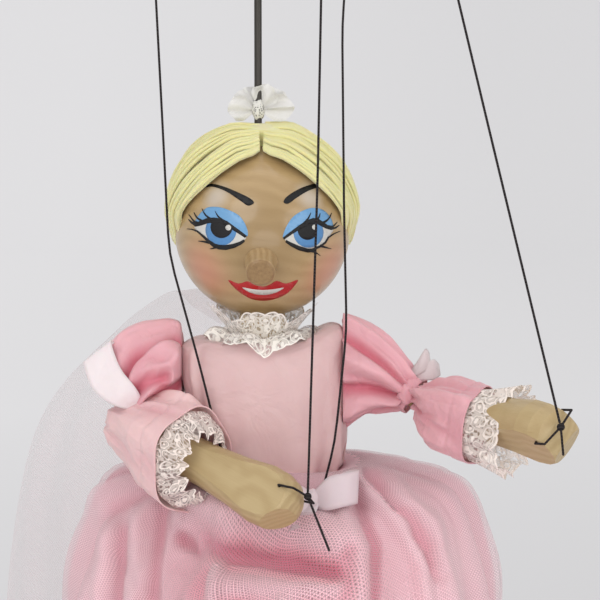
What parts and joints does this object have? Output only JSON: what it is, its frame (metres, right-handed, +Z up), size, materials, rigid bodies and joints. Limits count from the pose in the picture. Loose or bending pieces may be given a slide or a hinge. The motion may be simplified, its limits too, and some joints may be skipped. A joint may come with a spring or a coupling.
{
  "type": "rod and string marionette",
  "caption": "Wooden doll marionette with a ball head and peg nose in a tulle dress, hung by a rod and strings from a wooden cross controller.",
  "frame": {"origin": "centre of the hanging hole in the controller's hump, on the axis of the head rod", "axes": "+Z up along the head rod; the puppet faces -Y and its right hand is on the -X side"},
  "size_m": [0.223, 0.1931, 0.572],
  "materials": {
    "bar_wood": "oiled beech",
    "figure_wood": "lacquered limewood",
    "steel": "bright nail steel",
    "rod_steel": "dark drawn wire",
    "bodice_cloth": "dusty pink cotton",
    "sleeve_cloth": "pink crushed satin",
    "skirt_tulle": "bright pink tulle",
    "lining": "pink lining",
    "veil_tulle": "sheer pale pink tulle",
    "lace": "off-white cotton lace",
    "ribbon": "white organza and satin ribbon",
    "yarn": "pale yellow yarn",
    "thread": "black waxed thread",
    "bead": "stained bead",
    "shoe_paint": "painted pink"
  },
  "bodies": {
    "frame": {"control_bar": "bar_wood", "cross_bar": "bar_wood", "lap_screws": "steel", "head_rod": "rod_steel", "rod_pins": "steel", "torso": "figure_wood", "arm_pins": "steel", "hip_axle": "steel", "bodice": "bodice_cloth", "skirt": "skirt_tulle", "underskirt": "lining", "waist_bow": "ribbon", "lace_collar": "lace", "veil": "veil_tulle"},
    "head": {"head_ball": "figure_wood", "neck": "figure_wood", "nose_peg": "figure_wood", "hair": "yarn", "hair_bow": "ribbon"},
    "right_arm": {"right_upper_arm": "figure_wood", "right_elbow_pin": "steel", "right_upper_sleeve": "sleeve_cloth", "right_sleeve_bow": "ribbon"},
    "right_hand": {"right_forearm": "figure_wood", "right_lower_sleeve": "sleeve_cloth", "right_lace_cuff": "lace", "right_hand_knot": "thread"},
    "right_hand_line": {"right_hand_string": "thread", "right_hand_bead": "bead"},
    "right_leg": {"right_thigh": "figure_wood", "right_knee_pin": "steel", "right_knee_knot": "thread"},
    "right_foot": {"right_shin": "figure_wood", "right_shoe": "shoe_paint"},
    "right_knee_line": {"right_knee_string": "thread", "right_knee_bead": "bead"},
    "left_arm": {"left_upper_arm": "figure_wood", "left_elbow_pin": "steel", "left_upper_sleeve": "sleeve_cloth", "left_sleeve_bow": "ribbon"},
    "left_hand": {"left_forearm": "figure_wood", "left_lower_sleeve": "sleeve_cloth", "left_lace_cuff": "lace", "left_hand_knot": "thread"},
    "left_hand_line": {"left_hand_string": "thread", "left_hand_bead": "bead"},
    "left_leg": {"left_thigh": "figure_wood", "left_knee_pin": "steel", "left_knee_knot": "thread"},
    "left_foot": {"left_shin": "figure_wood", "left_shoe": "shoe_paint"},
    "left_knee_line": {"left_knee_string": "thread", "left_knee_bead": "bead"}
  },
  "joints": [
    {"name": "head_turn", "type": "hinge", "parent": "frame", "child": "head", "pos_m": [0, 0, -0.285], "axis": [0, 0, 1], "range_deg": [-60, 60]},
    {"name": "right_shoulder", "type": "hinge", "parent": "frame", "child": "right_arm", "pos_m": [-0.0347, 0, -0.335], "axis": [-1, 0, 0], "range_deg": [0, 40]},
    {"name": "right_elbow", "type": "hinge", "parent": "right_arm", "child": "right_hand", "pos_m": [-0.05159, -0.00795, -0.36282], "axis": [-0.4621, -0.7382, 0.4915], "range_deg": [-6.5, 0]},
    {"name": "right_hand_string_swing", "type": "hinge", "parent": "right_hand", "child": "right_hand_line", "pos_m": [0.0195, -0.0645, -0.381], "axis": [0.9994, -0.0332, -0.0116], "range_deg": [0, 34.1], "deforming": ["right_hand_string", "right_hand_bead"]},
    {"name": "right_hip", "type": "hinge", "parent": "frame", "child": "right_leg", "pos_m": [-0.0104, 0, -0.405], "axis": [-1, 0, 0], "range_deg": [0, 30]},
    {"name": "right_knee", "type": "hinge", "parent": "right_leg", "child": "right_foot", "pos_m": [-0.0104, 0, -0.475], "axis": [1, 0, 0], "range_deg": [0, 50]},
    {"name": "right_knee_string_swing", "type": "hinge", "parent": "right_leg", "child": "right_knee_line", "pos_m": [-0.0104, -0.009, -0.463], "axis": [0.9957, -0.0295, 0.0873], "range_deg": [0, 27.3], "deforming": ["right_knee_string", "right_knee_bead"]},
    {"name": "left_shoulder", "type": "hinge", "parent": "frame", "child": "left_arm", "pos_m": [0.0379, 0, -0.335], "axis": [-1, 0, 0], "range_deg": [0, 40]},
    {"name": "left_elbow", "type": "hinge", "parent": "left_arm", "child": "left_hand", "pos_m": [0.06406, -0.01207, -0.3521], "axis": [-0.622, -0.3703, -0.6899], "range_deg": [0, 10.5]},
    {"name": "left_hand_string_swing", "type": "hinge", "parent": "left_hand", "child": "left_hand_line", "pos_m": [0.11, -0.0925, -0.3505], "axis": [0.9729, 0.0564, 0.2243], "range_deg": [0, 48.8], "deforming": ["left_hand_string", "left_hand_bead"]},
    {"name": "left_hip", "type": "hinge", "parent": "frame", "child": "left_leg", "pos_m": [0.0136, 0, -0.405], "axis": [-1, 0, 0], "range_deg": [0, 30]},
    {"name": "left_knee", "type": "hinge", "parent": "left_leg", "child": "left_foot", "pos_m": [0.0136, 0, -0.475], "axis": [1, 0, 0], "range_deg": [0, 50]},
    {"name": "left_knee_string_swing", "type": "hinge", "parent": "left_leg", "child": "left_knee_line", "pos_m": [0.0136, -0.009, -0.463], "axis": [0.9964, 0.0165, -0.0826], "range_deg": [0, 27.2], "deforming": ["left_knee_string", "left_knee_bead"]}
  ],
  "couplings": [
    {"joint": "right_elbow", "follows": "right_shoulder", "ratio": -0.15},
    {"joint": "right_hand_string_swing", "follows": "right_shoulder", "ratio": 0.8271},
    {"joint": "right_knee_string_swing", "follows": "right_hip", "ratio": 0.876},
    {"joint": "left_elbow", "follows": "left_shoulder", "ratio": 0.25},
    {"joint": "left_hand_string_swing", "follows": "left_shoulder", "ratio": 1.1957},
    {"joint": "left_knee_string_swing", "follows": "left_hip", "ratio": 0.872}
  ]
}
